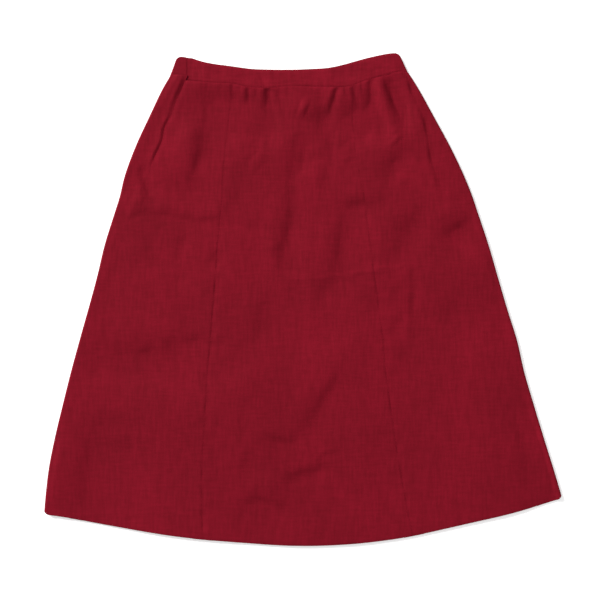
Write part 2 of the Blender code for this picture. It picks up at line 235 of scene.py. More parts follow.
# %% The gathers, from left to right
Gather = namedtuple("Gather", "x lean run width depth")
GATHERS = [Gather(*row) for row in [
    (-146, -3, 26, 6.5, 0.8), (-124, -2, 18, 4.6, 0.4), (-108, 5, 50, 5.6, 1.1),
    (-96, -3, 16, 3.0, 0.5), (-84, 0, 32, 3.4, 1.3), (-71, 1, 16, 3.0, 0.4),
    (-56, 3, 46, 5.0, 2.6), (-38, 3, 26, 3.4, 0.4), (-24, 2, 18, 3.0, 0.3), (24, 1, 42, 4.6, 0.6),
    (50, -17, 56, 4.2, 2.0), (61, 8, 26, 2.6, 0.7), (73, 9, 48, 4.4, 1.4), (86, 4, 32, 3.2, 0.8),
    (99, 2, 62, 6.0, 2.2), (150, 2, 20, 3.0, 0.4),
]]
EASE = curve_table("x sink reach", [
    (-205, 0.0, 60), (-165, 0.8, 60), (-130, 2.2, 58), (-60, 2.6, 56), (-32, 0.6, 56),
    (-10, 0.0, 60), (16, 0.6, 60), (42, 2.3, 66), (90, 2.6, 70), (112, 1.6, 74), (128, 0.6, 76),
    (152, 0.2, 76), (175, 0.0, 70),
])
WAIST_RISE = 1.6  # how much higher the cloth lies at the waist seam than further down


def gather_relief(x, below_seam):
    total = np.zeros_like(x)
    for g in GATHERS:
        share = np.clip(below_seam / g.run, -0.2, 2.0)
        across = (x - g.x - g.lean * share) / (g.width * (0.75 + 0.5 * share))
        fade = smooth_step(-2, 5, below_seam) * (1.0 - smooth_step(0.3, 1.3, share))
        total += g.depth * crease_profile(across, slow=2.0) * fade
    return total


def waist_relief(x, below_seam):
    """The spare cloth lies high at the band, sinks within a hand's breadth, and comes back to
    level lower down. EASE says how deep and how far, from left to right."""
    reach = along(EASE, "reach", x)
    sink = along(EASE, "sink", x)
    fallen = smooth_step(-4, reach, below_seam)
    back_up = smooth_step(reach, reach + 48, below_seam)
    return WAIST_RISE * (1.0 - fallen) - sink * fallen * (1.0 - back_up)


# %% [markdown]
# ## Creases and puffs of the front
#
# The rest of the front's relief is a list too. Each crease follows two to four points. A
# negative height is a crease with the profile above, which falls towards the lower right; a
# positive one is a soft puff. A bank is the crease's mirror image: it faces the light with its
# steep side, and makes the broad light patches. Each is strongest in the middle and fades at its
# ends, and slow waves nudge it sideways, so that none is ruler straight.

# %% The creases
Crease = namedtuple("Crease", "name path width height slow", defaults=[2.6])
CREASES = [Crease(*row) for row in [
    # Left hip and pocket
    ("hip puff", [(-160, 98), (-177, 146)], 18, 2.7),
    ("left waist fall", [(-150, 60), (-104, 64), (-46, 62)], 18, -2.2, 2.0),
    ("pocket side shade", [(-177, 74), (-180, 92), (-187, 114)], 5, -0.7),
    ("hip trough", [(-143, 84), (-148, 110), (-154, 130)], 6, -0.4),
    ("hip trough lower", [(-154, 136), (-160, 156), (-168, 178)], 11, -2.3),
    ("hip trough end", [(-166, 192), (-170, 216)], 7, -0.5),
    ("beside hip trough", [(-134, 128), (-132, 170)], 12, -0.8),
    ("left gather puff", [(-92, 120), (-84, 142)], 14, 0.9),
    ("pocket end pucker", [(-246, 184), (-234, 206)], 6, -2.8),
    ("pucker puff", [(-260, 214), (-240, 222)], 11, 1.2),
    ("left cross crease", [(-256, 240), (-200, 240), (-116, 250)], 6, -1.2),
    ("cross crease goes on", [(-112, 252), (-60, 257), (-16, 260)], 5, -0.5),
    ("below left pocket", [(-218, 178), (-196, 192), (-150, 198)], 16, -2.0),
    ("left middle hollow", [(-240, 278), (-229, 318)], 13, -1.1),
    ("left middle spot", [(-188, 270), (-186, 298)], 10, -1.5),
    ("left middle second spot", [(-148, 308), (-132, 330)], 11, -1.4),
    ("left lower hollow", [(-208, 330), (-188, 358)], 14, -1.5),
    ("left pressing line", [(-290, 440), (-240, 446), (-200, 440)], 21, -4.4, 2.0),
    ("thin pressing line", [(-196, 430), (-124, 428)], 8, -1.3),
    ("left edge shade", [(-298, 392), (-296, 440)], 8, -0.8),
    ("left hem trough", [(-322, 570), (-326, 632), (-326, 690)], 30, -5.4, 4.5),
    ("left hem tick", [(-264, 670), (-264, 704)], 5, -0.4),
    ("left lower tick", [(-94, 520), (-94, 570)], 5, -0.4),
    # Centre panel
    ("centre waist puff", [(-4, 77), (8, 81)], 14, 3.4),
    ("left of centre streak", [(-39, 66), (-33, 88), (-25, 118)], 5, -0.8),
    ("gather end left", [(-70, 92), (-62, 124)], 8, -1.2),
    ("gather end right", [(-49, 108), (-53, 140)], 5, -0.8),
    ("right gather end", [(30, 84), (22, 108)], 8, -1.2),
    ("centre left puff", [(-72, 156), (-62, 170)], 16, 1.4),
    ("centre upper line", [(2, 128), (-4, 172)], 6, -1.4),
    ("centre upper spot", [(16, 146), (10, 162)], 9, -1.1),
    ("centre upper left", [(-12, 132), (-18, 160), (-22, 196)], 9, -2.3),
    ("right upper puff", [(52, 116), (66, 132)], 15, 1.8),
    ("right upper line", [(38, 128), (36, 160)], 7, -1.1),
    ("right upper line lower", [(31, 166), (31, 204)], 6, -0.9),
    ("long centre trough", [(-19, 210), (-25, 262), (-33, 316)], 10, -2.6),
    ("left of long trough", [(-50, 284), (-44, 300)], 14, 1.3),
    ("centre ridge", [(6, 262), (4, 330)], 14, 0.7),
    ("right of centre trough", [(60, 236), (52, 290), (46, 324)], 12, -2.4),
    ("right trough end", [(34, 330), (26, 370)], 10, -1.6),
    ("upper cross crease", [(46, 222), (84, 224), (122, 220)], 10, -1.6),
    ("right upper hollow", [(62, 160), (70, 178)], 11, -1.2),
    ("slanting light line", [(-10, 340), (70, 332), (150, 318)], 3, 0.5),
    ("middle hollow", [(-56, 366), (-70, 404), (-88, 434)], 15, -1.9),
    ("lower slanting crease", [(50, 482), (28, 516), (8, 548), (0, 566)], 12, -2.3),
    ("lower cross crease", [(-12, 576), (-32, 577), (-52, 575)], 8, -1.9),
    ("short hem crease", [(-20, 635), (6, 629), (36, 619)], 6, -1.8),
    ("thin hem branch", [(22, 610), (46, 600)], 3, -0.6),
    ("left hem hollow", [(-84, 608), (-92, 628)], 8, -1.3),
    ("hem dimple", [(-74, 670), (-56, 676), (-36, 680)], 15, -4.2),
    ("hem dimple line", [(-90, 688), (-32, 692)], 3.5, -0.8),
    # Right hip and pocket
    ("right waist fall", [(54, 104), (88, 84), (110, 64)], 19, -2.2, 1.6),
    ("hip pleat ridge", [(115, 46), (125, 74), (135, 98)], 9, 2.4),
    ("hip pleat start", [(122, 34), (126, 52), (133, 72)], 4, -2.2),
    ("hip pleat", [(128, 50), (137, 78), (148, 106)], 9, -4.4, 1.6),
    ("hip pleat tick", [(149, 66), (150, 88)], 3.0, -1.0),
    ("hip blob line", [(116, 92), (114, 130)], 5, -1.0),
    ("hip outer puff", [(166, 90), (168, 120)], 13, 0.9),
    ("hip inner puff", [(136, 124), (142, 134)], 11, 1.8),
    ("hip hollow", [(124, 170), (146, 150)], 17, -3.8, 1.8),
    ("below right pocket", [(197, 178), (212, 206)], 4, -1.3),
    ("right slanting hollow", [(168, 238), (152, 268), (134, 300)], 12, -1.6),
    ("dimple", [(212, 268), (226, 259), (240, 249)], 11, -3.6, 3.4),
    ("right middle hollow", [(94, 362), (108, 400)], 18, -1.3),
    ("seam tick", [(138, 396), (130, 420)], 7, -1.2),
    ("upright crease", [(161, 330), (163, 380), (168, 424)], 5.5, -1.2),
    ("right broad hollow", [(152, 366), (206, 386), (262, 366)], 34, -2.6, 3.4),
    ("right hem trough", [(316, 560), (338, 614), (354, 664)], 33, -5.8),
    ("right hem tick", [(236, 676), (236, 702)], 5, -0.4),
]]
BANKS = [Crease(*row) for row in [
    ("left light bank", [(-304, 504), (-220, 514), (-130, 508)], 40, 2.4, 7.0),
    ("middle light bank", [(-122, 494), (-62, 466)], 20, 2.6, 7.0),
    ("centre light bank", [(-6, 462), (92, 408)], 34, 3.0, 3.6),
    ("centre lower bank", [(60, 566), (112, 540)], 26, 1.2),
    ("left upper bank", [(-270, 350), (-236, 320)], 24, 1.4),
    ("bank under dimple", [(214, 318), (280, 294)], 15, 1.4, 4.5),
    ("right edge bank", [(214, 470), (270, 440)], 30, 1.2),
]]
TOWARDS_DARK = (0.70, 0.72)  # the way the steep side of a crease falls, in x and drop
NUDGE = 1.8  # mm, how far slow waves move a crease


def slow_waves(x, drop, seed, count, shortest, longest, upright=1.0):
    """Random smooth relief of unit strength, from a few plane waves; upright above 1 stretches
    it along the drop, the way cloth wrinkles when it hangs."""
    random = np.random.default_rng(seed)
    total = np.zeros_like(x)
    for _ in range(count):
        length = random.uniform(shortest, longest)
        angle = random.uniform(0.0, math.pi)
        phase = random.uniform(0.0, 2 * math.pi)
        across, down = math.cos(angle) / length, math.sin(angle) / length / upright
        total += np.cos(2 * math.pi * (across * x + down * drop) + phase)
    return total * math.sqrt(2.0 / count)


def crease_coordinates(path, x, drop):
    """How far a point is across a path, how far past its ends, and its share along it."""
    across = np.full_like(x, 1e9)
    past = np.zeros_like(x)
    place = np.zeros_like(x)
    steps = len(path) - 1
    for i, ((x0, d0), (x1, d1)) in enumerate(zip(path, path[1:])):
        length = math.hypot(x1 - x0, d1 - d0)
        along_x, along_d = (x1 - x0) / length, (d1 - d0) / length
        side = 1.0 if -along_d * TOWARDS_DARK[0] + along_x * TOWARDS_DARK[1] > 0 else -1.0
        run = (x - x0) * along_x + (drop - d0) * along_d
        off = side * (-(x - x0) * along_d + (drop - d0) * along_x)
        inside = np.clip(run, 0.0, length)
        beyond = np.abs(run - inside)
        open_end = ((i == 0) & (run < 0)) | ((i == steps - 1) & (run > length))
        signed = np.where(open_end, off, np.sign(off) * np.hypot(off, beyond))
        closer = np.hypot(off, beyond) < np.hypot(across, past)
        past = np.where(closer, np.where(open_end, beyond, 0.0), past)
        place = np.where(closer, (i + inside / length) / steps, place)
        across = np.where(closer, signed, across)
    return across, past, place


def crease_or_puff(across, crease):
    return crease_profile(across, crease.slow) if crease.height < 0 else bell(across, 1.0)


def bank(across, crease):
    return bank_profile(across, crease.slow)


def crease_relief(x, drop, creases, banks=()):
    nudged_x = x + NUDGE * slow_waves(x, drop, 5, 9, 35, 90)
    nudged_drop = drop + NUDGE * slow_waves(x, drop, 6, 9, 35, 90)
    total = np.zeros_like(x)
    for group, profile in ((creases, crease_or_puff), (banks, bank)):
        for crease in group:
            across, past, place = crease_coordinates(crease.path, nudged_x, nudged_drop)
            ends = (0.5 + 0.5 * np.sin(math.pi * place)) * bell(past / crease.width, 1.1)
            total += abs(crease.height) * profile(across / crease.width, crease) * ends
    return total


print(len(GATHERS), "gathers,", len(CREASES), "creases and", len(BANKS), "banks")
print("deepest:", min(CREASES, key=lambda crease: crease.height).name)

# %% [markdown]
# ## The height of the front
#
# One function says how high the outside of the front lies at any point. It starts from the
# solids: a soft fold at each side, a slightly raised patch over each flat pocket bag, and the
# plain level between them. The gathers, the creases and some slow unevenness come on top,
# and the result is kept above the back panel.

# %% Front height
POCKET_BAG_WIDTH = 118.0
POCKET_BAG_TOP = 52.0
POCKET_BAG_END = 237.0
BAG_EDGE_BLEND = 34.0
LIFT_OVER_BAG = 0.8
LOWEST_OVER_BAG = 3.1
LOWEST_FRONT = 2.3  # the back's cloth and the front's own turnings still fit below this
FLOOR_BLEND = 0.5  # how far above the lowest height it starts to round off
HEM_FALL = 1.2  # how much lower the cloth lies at the hem, where only its own layers hold it up
MOUTH_TOP = 30.0
MOUTH_END = 182.0
Dash = namedtuple("Dash", "drop reach")
RIGHT_DASHES = [Dash(52, 12), Dash(107, 19), Dash(155, 15)]


def mouth(drop, side):
    """1 where a pocket mouth stands open, 0 above and below it. The right one stands open only
    in places, and is pressed shut between them."""
    opening = smooth_step(MOUTH_TOP - 6, MOUTH_TOP + 24, drop)
    opening = opening * (1.0 - smooth_step(MOUTH_END - 26, MOUTH_END, drop))
    if side == "right":
        open_places = sum(bell(drop - dash.drop, dash.reach) for dash in RIGHT_DASHES)
        opening = opening * (0.15 + 0.85 * open_places)
    return opening


def bag_plateau(drop, inset, roll):
    over = smooth_step(roll - 15, roll, inset)
    inner = roll + POCKET_BAG_WIDTH + 2
    over = over * (1.0 - smooth_step(inner, inner + BAG_EDGE_BLEND, inset))
    over = over * smooth_step(POCKET_BAG_TOP - 26, POCKET_BAG_TOP - 2, drop)
    end = POCKET_BAG_END + 2
    return over * (1.0 - smooth_step(end, end + BAG_EDGE_BLEND, drop))


def soft_floor(height, lowest):
    """Keeps a height above the lowest one without a hard edge where they meet."""
    spare = height - lowest
    kept = 0.25 * np.exp(np.minimum(spare, FLOOR_BLEND) * 2 - 1) + 0.25
    return lowest + np.where(spare > FLOOR_BLEND, spare, kept)


def front_height(x, drop):
    inset_left, inset_right = x - left_x(drop), right_x(drop) - x
    inset = np.minimum(inset_left, inset_right)
    height = mix(2 * SIDE_RADIUS, FRONT_HEIGHT, smooth_step(SIDE_RADIUS, 22, inset))
    over_left = bag_plateau(drop, inset_left, along(ROLLS, "left", drop))
    over_right = bag_plateau(drop, inset_right, along(ROLLS, "right", drop))
    over = np.maximum(over_left, over_right)
    height = height + LIFT_OVER_BAG * over
    away_from_fold = smooth_step(SIDE_RADIUS, 13, inset)
    below_seam = drop - along(FRONT_SEAM, "drop", x)
    relief = crease_relief(x, drop, CREASES, BANKS) + gather_relief(x, below_seam)
    relief = relief + waist_relief(x, below_seam) - HEM_FALL * smooth_step(560, 700, drop)
    relief = relief + 0.20 * slow_waves(x, drop, 11, 14, 60, 140, upright=1.4)
    relief = relief + 0.05 * slow_waves(x, drop, 12, 22, 16, 36, upright=1.5)
    relief = relief + 0.015 * slow_waves(x, drop, 13, 30, 6, 11)
    return soft_floor(height + away_from_fold * relief, mix(LOWEST_FRONT, LOWEST_OVER_BAG, over))


sample = front_height(np.array([0.0, -342.0]), np.array([200.0, 640.0]))
print("front height at the centre and in the hem trough:", np.round(sample, 1), "mm")

# %% [markdown]
# ## From a place function to cloth
#
# Every panel below is one function `place(a, b)`: `a` runs across the panel and `b` down it, and
# the answer is a point on the outside of the cloth. Blender could also bend a flat plane with
# modifiers, but a function keeps the seams of neighbouring panels exactly together.
#
# Sewn edges are never raw: the cloth folds over and runs back inside. We get that by carrying the
# rows or columns on past the edge, at a small depth below the outside, which needs the surface's
# normal. We find it by stepping a little along `a` and `b` and taking a cross product.

# %% Points, normals and turned edges
CLOTH = 0.38
TURN = 0.39  # radius of a pressed fold, from its middle to the outer face
STEP = 1e-4
TINY_STEP = 0.12  # mm, the first step from an edge


def add_object(name, data):
    thing = bpy.data.objects.new(name, data)
    bpy.context.scene.collection.objects.link(thing)
    return thing


def grid_object(name, points, turned_over=False):
    """Smooth four-sided faces through rows of (x, drop, height) points in millimetres."""
    count_b, count_a = points.shape[:2]
    corners = np.stack(
        [points[..., 0] * MM, (HALF_LENGTH - points[..., 1]) * MM, points[..., 2] * MM], axis=-1
    ).reshape(-1, 3)
    first = (np.arange(count_b - 1)[:, None] * count_a + np.arange(count_a - 1)[None, :]).ravel()
    faces = np.stack([first, first + count_a, first + count_a + 1, first + 1], axis=-1)
    if turned_over:
        faces = faces[:, ::-1]
    mesh = bpy.data.meshes.new(name)
    mesh.from_pydata(corners, [], faces)
    mesh.shade_smooth()
    return add_object(name, mesh)


def thicken(piece, name, thickness, offset):
    wall = piece.modifiers.new(name, "SOLIDIFY")
    wall.thickness = thickness * MM
    wall.offset = offset


def outside_and_normal(place, a, b):
    step_a = np.where(a < 0.5, STEP, -STEP)
    step_b = np.where(b < 0.5, STEP, -STEP)
    point = np.stack(place(a, b), axis=-1)
    along_a = (np.stack(place(a + step_a, b), axis=-1) - point) * np.sign(step_a)[..., None]
    along_b = (np.stack(place(a, b + step_b), axis=-1) - point) * np.sign(step_b)[..., None]
    normal = np.cross(along_a, along_b)
    return point, normal / np.linalg.norm(normal, axis=-1, keepdims=True)


def turned_edge(length, allowance):
    """Shares past an edge and depths below the outside, for a folded edge and what lies inside.
    The first value is the fold itself, the last the cut edge of the allowance."""
    angles = np.radians([35, 70, 110, 145, 180])
    shares = TURN * np.sin(angles) / length
    depths = TURN * (1 - np.cos(angles))
    inside = -np.linspace(0.12, 1.0, 5) * allowance / length
    return np.concatenate([shares, inside]), np.concatenate([depths, np.full(5, 2 * TURN)])


def crowded(count, length, closest=0.7):
    """Shares from 0 to 1 whose spacing is closest at both ends and even in the middle. The first
    step is tiny, so that the shading of a turned edge doesn't spread on to the flat cloth."""
    steps = [0.0, TINY_STEP, closest, closest * 1.2, closest * 1.6, closest * 2.1]
    near = np.cumsum(steps) / length
    middle = np.linspace(near[-1], 1.0 - near[-1], count)[1:-1]
    return np.concatenate([near, middle, (1.0 - near)[::-1]])


def with_turns(shares, length, start=0.0, end=0.0):
    """Adds a turned edge before the first share and after the last; 0 leaves the edge plain."""
    depths = np.zeros_like(shares)
    if end:
        past, depth = turned_edge(length, end)
        shares = np.concatenate([shares, 1.0 + past])
        depths = np.concatenate([depths, depth])
    if start:
        past, depth = turned_edge(length, start)
        shares = np.concatenate([(-past)[::-1], shares])
        depths = np.concatenate([depth[::-1], depths])
    return shares, depths


def cloth_shell(name, columns, rows, place, thickness=CLOTH, turned_over=False):
    """A thin sheet of cloth. columns and rows are pairs of shares and depths."""
    a, b = np.meshgrid(columns[0], rows[0])
    depth = columns[1][None, :] + rows[1][:, None]
    point, normal = outside_and_normal(place, a, b)
    if turned_over:
        normal = -normal
    shell = grid_object(name, point - normal * depth[..., None], turned_over)
    thicken(shell, "cloth thickness", thickness, -1.0)
    print(f"{name}: {4 * len(shell.data.polygons) + 4 * sum(a.shape)} triangles")
    return shell


# %% [markdown]
# ## The long seams
#
# A pressed seam shows as a narrow ditch where the two folds meet. Beside it the cloth lies on its
# own seam allowances, about 15 mm wide, and their edges leave a faint step. The stitching also
# shortens the seam a little, which puckers the cloth along it in small uneven waves.

# %% Relief beside a seam
SEAM_GAP = -0.16  # the two folds are pressed together, so their round edges meet
SIDE_SEAM_GAP = -0.02
BAND_GAP = 0.12
ALLOWANCE_EDGE = 15.0  # mm from the seam, where the edge below shows as a step
DITCH = 0.46  # mm deep where the seam isn't pulled
SIDE_SEAM = 0.22  # the side seams lie softer, because nothing pulls on them


def seam_relief(across, drop, seed, strength=1.0):
    """across is the distance from the seam, positive on its right-hand side."""
    distance = np.abs(across)
    side = np.zeros_like(distance)
    pulled = 0.75 + 0.3 * slow_waves(side, drop, seed + 2, 12, 12, 60)
    ditch = -DITCH * pulled * np.where(across < 0, bell(across, 1.5), bell(across, 5.0))
    over_allowance = 0.08 * (1.0 - smooth_step(ALLOWANCE_EDGE - 4, ALLOWANCE_EDGE + 5, distance))
    pucker = slow_waves(side, drop, seed, 12, 14, 46) * 0.11 * bell(distance - 3.0, 8.0)
    fine = slow_waves(side, drop, seed + 1, 12, 5, 11) * 0.05 * bell(distance, 4.5)
    return strength * (ditch + over_allowance + pucker + fine)


ditch_depth = -seam_relief(np.array([0.0]), np.array([300.0]), 21)[0]
print("ditch depth:", round(float(ditch_depth), 2), "mm")

# %% [markdown]
# ## The front panels
#
# The front is cut in three: a centre panel and two side panels. The side panels stop at the side
# seams, which have rolled a little way on to the front, and their upper edges are the mouths of
# the pockets. All three read their height from the same function, so they meet at the seams.

# %% Where the front panels lie
POCKET_GAPE = 0.35
Lip = namedtuple("Lip", "depth width")
# The left mouth's edge comes up slowly from the strip beside it; the right one rolls down.
LIPS = {"left": Lip(0.5, 7.0), "right": Lip(2.1, 5.0)}
MEAN_WIDTH = 655.0
PANEL_LENGTH = 690.0
CENTRE_WIDTH = 260.0
SIDE_WIDTH = 150.0
SEAM_SHARE = SEAM_GAP / 2 / MEAN_WIDTH
WAIST_DITCH = 0.4  # deep, where a panel meets the band


def graded(b):
    """Rows a little closer together near the waist, where the gathers are."""
    return 0.35 * b**1.6 + 0.65 * b


def front_point(share, row, lift=0.0):
    drop = skirt_drop(share, row, FRONT_SEAM)
    x = skirt_x(share, drop)
    width = panel_width(drop)
    left = (share - along(FRONT_SEAMS, "left", row)) * width
    right = (share - along(FRONT_SEAMS, "right", row)) * width
    waist = drop - seam_drop(share, FRONT_SEAM)
    height = front_height(x, drop) + lift
    # The long seams are soft near the gathers and pressed sharper lower down.
    sharpness = mix(0.45, 1.1, smooth_step(110, 330, drop))
    height = height + seam_relief(left, drop, 21, sharpness)
    height = height + seam_relief(right, drop, 31, sharpness)
    height = height - WAIST_DITCH * bell(waist, 1.6)
    hem = (1.0 - row) * PANEL_LENGTH
    height = height - 0.30 * bell(hem, 2.0)
    return x, drop, height


def centre_front_point(a, b):
    row = graded(b)
    left = along(FRONT_SEAMS, "left", row) + SEAM_SHARE
    right = along(FRONT_SEAMS, "right", row) - SEAM_SHARE
    return front_point(mix(left, right, a), row)


def side_seam_share(row, side):
    share = np.full_like(row, 0.08 if side == "left" else 0.92)
    for _ in range(4):
        drop = skirt_drop(share, row, FRONT_SEAM)
        inset = along(ROLLS, side, drop) + SIDE_SEAM_GAP / 2 + POCKET_GAPE * mouth(drop, side)
        inset_share = inset / panel_width(drop)
        share = inset_share if side == "left" else 1.0 - inset_share
    return share


def side_front_point(side):
    def place(a, b):
        row = graded(b)
        outer = side_seam_share(row, side)
        if side == "left":
            share = mix(outer, along(FRONT_SEAMS, "left", row) - SEAM_SHARE, a)
            across_seam = a * SIDE_WIDTH
        else:
            share = mix(along(FRONT_SEAMS, "right", row) + SEAM_SHARE, outer, a)
            across_seam = -(1.0 - a) * SIDE_WIDTH
        drop = skirt_drop(share, row, FRONT_SEAM)
        opening = mouth(drop, side)
        lip = LIPS[side].depth * bell(across_seam, LIPS[side].width)
        lift = (1.0 - opening) * seam_relief(across_seam, drop, 41, SIDE_SEAM) - opening * lip
        return front_point(share, row, lift)

    return place


# %% Make the front panels
HEM_ALLOWANCE = 30.0
SEAM_ALLOWANCE = 12.0


def sewn_columns(count, width):
    return with_turns(crowded(count, width), width, SEAM_ALLOWANCE, SEAM_ALLOWANCE)


def hemmed_rows(count):
    return with_turns(crowded(count, PANEL_LENGTH), PANEL_LENGTH, end=HEM_ALLOWANCE)


rows_down = hemmed_rows(262)
centre_front = cloth_shell(
    "wool_centre_front", sewn_columns(118, CENTRE_WIDTH), rows_down, centre_front_point
)
side_fronts = {
    side: cloth_shell(
        f"wool_side_front_{side}", sewn_columns(64, SIDE_WIDTH), rows_down, side_front_point(side)
    )
    for side in ("left", "right")
}

# %% [markdown]
# ## The back panel
#
# The back is one wide piece. It starts on the front at the right side seam, goes round the right
# fold, lies on the table, and comes round the left fold to the left side seam. Where it lies
# on the table it is flat, with a few shallow creases like those of the front, which rise from the
# table and so show from below.

# %% Creases of the back, and its path round the sides
BACK_CREASES = [Crease(*row) for row in [
    ("upright left", [(-150, 90), (-172, 200), (-178, 300)], 11, 1.0),
    ("upright middle", [(-30, 70), (-22, 190), (-46, 330)], 12, 1.1),
    ("upright right", [(96, 60), (128, 170), (150, 260)], 10, 1.0),
    ("short at waist", [(-88, 56), (-90, 104)], 5, 1.0),
    ("short at waist right", [(46, 54), (40, 96)], 5, 1.0),
    ("pressing line", [(-250, 430), (-120, 446), (-20, 436)], 9, 0.8),
    ("cross crease", [(60, 366), (140, 352), (236, 376)], 8, 0.9),
    ("hem left", [(-240, 560), (-262, 640), (-268, 700)], 12, 1.2),
    ("hem middle", [(30, 560), (52, 640), (40, 716)], 11, 1.0),
    ("hem right", [(230, 520), (262, 610), (284, 680)], 12, 1.2),
]]
TUCK_HEIGHT = 4.3  # of the back's edge inside the left pocket mouth
TUCK_DEPTH = 1.7  # of its edge inside the right one
WRAP = 0.30  # share of the columns on each side that go round the fold and on to the front
WRAP_GRADING = 1.7
BACK_WIDTH = 800.0
BACK_ALLOWANCE = 10.0


def back_relief(x, drop):
    total = crease_relief(x, drop, BACK_CREASES)
    total += 0.20 * np.maximum(0.0, slow_waves(x, drop, 61, 14, 30, 80, upright=1.5))
    room = front_height(x, drop) - 4 * CLOTH - 0.6  # below the front and its turnings
    return np.clip(np.minimum(total, room), 0.0, None)


def by_side(is_right, function):
    """Calls the function for both sides and picks the wanted answer at every point."""
    return np.where(is_right, function("right"), function("left"))


def back_point(a, b):
    row = graded(b)
    quarter = math.pi * SIDE_RADIUS / 2
    right_half = a < 0.5
    end_share = np.where(right_half, 1.0, 0.0)
    outward = np.minimum(a, 1.0 - a) / WRAP
    edge_drop = skirt_drop(end_share, row, BACK_SEAM, back=True)
    width = panel_width(edge_drop)

    # Underneath
    start = SIDE_RADIUS / width
    under_share = mix(1.0 - start, start, (a - WRAP) / (1.0 - 2 * WRAP))
    under_drop = skirt_drop(np.clip(under_share, 0, 1), row, BACK_SEAM, back=True)
    under_x = skirt_x(under_share, under_drop)
    inset = np.minimum(under_x - left_x(under_drop), right_x(under_drop) - under_x)
    under_height = back_relief(under_x, under_drop) * smooth_step(SIDE_RADIUS + 2, 30, inset)

    # Round a fold and on to the front
    roll = by_side(right_half, lambda side: along(ROLLS, side, edge_drop))
    roll = roll - SIDE_SEAM_GAP / 2
    top = roll - SIDE_RADIUS + quarter
    s = mix(-quarter, top, np.clip(1.0 - outward, 0.0, 1.2) ** WRAP_GRADING)
    inset = SIDE_RADIUS * (1 - np.cos(s / SIDE_RADIUS))
    inset = np.where(s > quarter, SIDE_RADIUS + s - quarter, inset)
    inset = np.where(s < -quarter, SIDE_RADIUS, inset)
    turn_height = SIDE_RADIUS + SIDE_RADIUS * np.sin(np.clip(s, -quarter, quarter) / SIDE_RADIUS)
    share = np.abs(end_share - inset / width)
    drop = skirt_drop(share, row, BACK_SEAM, back=True)
    own_roll = by_side(right_half, lambda side: along(ROLLS, side, drop))
    own_roll = own_roll - SIDE_SEAM_GAP / 2
    on_front = (inset - SIDE_RADIUS) / np.maximum(roll - SIDE_RADIUS, 0.5)
    inset = inset + (own_roll - roll) * smooth_step(0.0, 1.0, on_front)
    x = np.where(right_half, right_x(drop) - inset, left_x(drop) + inset)
    from_seam = np.abs(own_roll - inset)
    waist = drop - along(BACK_SEAM, "drop", x)
    opening = by_side(right_half, lambda side: mouth(drop, side))
    across_seam = np.where(right_half, from_seam, -from_seam)
    plain = front_height(x, drop) + (1.0 - opening) * seam_relief(across_seam, drop, 41, SIDE_SEAM)
    plain = plain - WAIST_DITCH * bell(waist, 1.6)
    reach = mix(9.0, 4.6, smooth_step(70, 112, drop))
    tuck_left = smooth_step(reach, 0.5, from_seam) * (plain - TUCK_HEIGHT)
    tuck_right = bell(from_seam, 8.0) * TUCK_DEPTH
    tucked = plain - opening * np.where(right_half, tuck_right, tuck_left)
    height = np.where(s > quarter, tucked, turn_height)

    under = outward >= 1.0
    return (
        np.where(under, under_x, x),
        np.where(under, under_drop, drop),
        np.where(under, under_height, height),
    )


# %% Make the back
SIDE_RING = 0.0005  # a share of about 0.14 mm, for the same reason as the tiny step above
round_side = np.insert(np.linspace(0.0, WRAP, 36), 1, SIDE_RING)
underneath = np.linspace(WRAP, 1.0 - WRAP, 130)
across = np.concatenate([round_side, underneath[1:-1], 1.0 - round_side[::-1]])
back = cloth_shell(
    "wool_back",
    with_turns(across, BACK_WIDTH, BACK_ALLOWANCE, BACK_ALLOWANCE),
    hemmed_rows(200),
    back_point,
)

# %% [markdown]
# ## The waistband
#
# A waistband is one strip of cloth folded lengthwise, with its fold at the top. It starts at its
# free end on the left of the front, goes right, passes round the right fold, back under the front,
# round the left fold, and ends as an underlap below its own start. We follow that path with
# rows that run up the outside, over the top fold and down the inside.

# %% The band's path
BAND_END_X = -173.0
UNDERLAP = 28.0
OVERLAP_HEIGHT = 5.6
UNDERLAP_SHOWN = 4.75
UNDERLAP_HEIGHT = 2.6
OVERLAP_BLEND = 46.0
BAND_LAYER = 0.5
BAND_TURN = 0.62  # half the thickness of the folded band
LEFT_DROPS = (31.0, 8.0)  # of the band's seam and of its top, at the left fold
RIGHT_DROPS = (27.0, 5.0)
BAND_DEPTH = 27.0
BAND_ALLOWANCE = 5.0
BAND_RING = 0.0002  # a share of about 0.12 mm at the free end, for the same reason as SIDE_RING
BAND_COUNTS = [150, 12, 70, 12, 26]  # columns of each part of the path
BAND_SHARES = np.concatenate([[0.0], np.cumsum(BAND_COUNTS) / sum(BAND_COUNTS)])
BandDent = namedtuple("BandDent", "x drop width height lean")
BAND_DENTS = [BandDent(*row) for row in [
    (-137, 38, 6, -0.7, 0.0), (-60, 40, 3.5, -0.9, 0.35), (-90, 34, 9, -0.3, 0.2),
    (-10, 36, 12, -0.25, 0.0), (48, 34, 5, -0.35, -0.2), (84, 24, 8, -0.3, 0.2),
    (-112, 30, 8, 0.35, 0.0), (24, 36, 8, 0.25, 0.0), (112, 18, 8, 0.35, 0.0),
]]


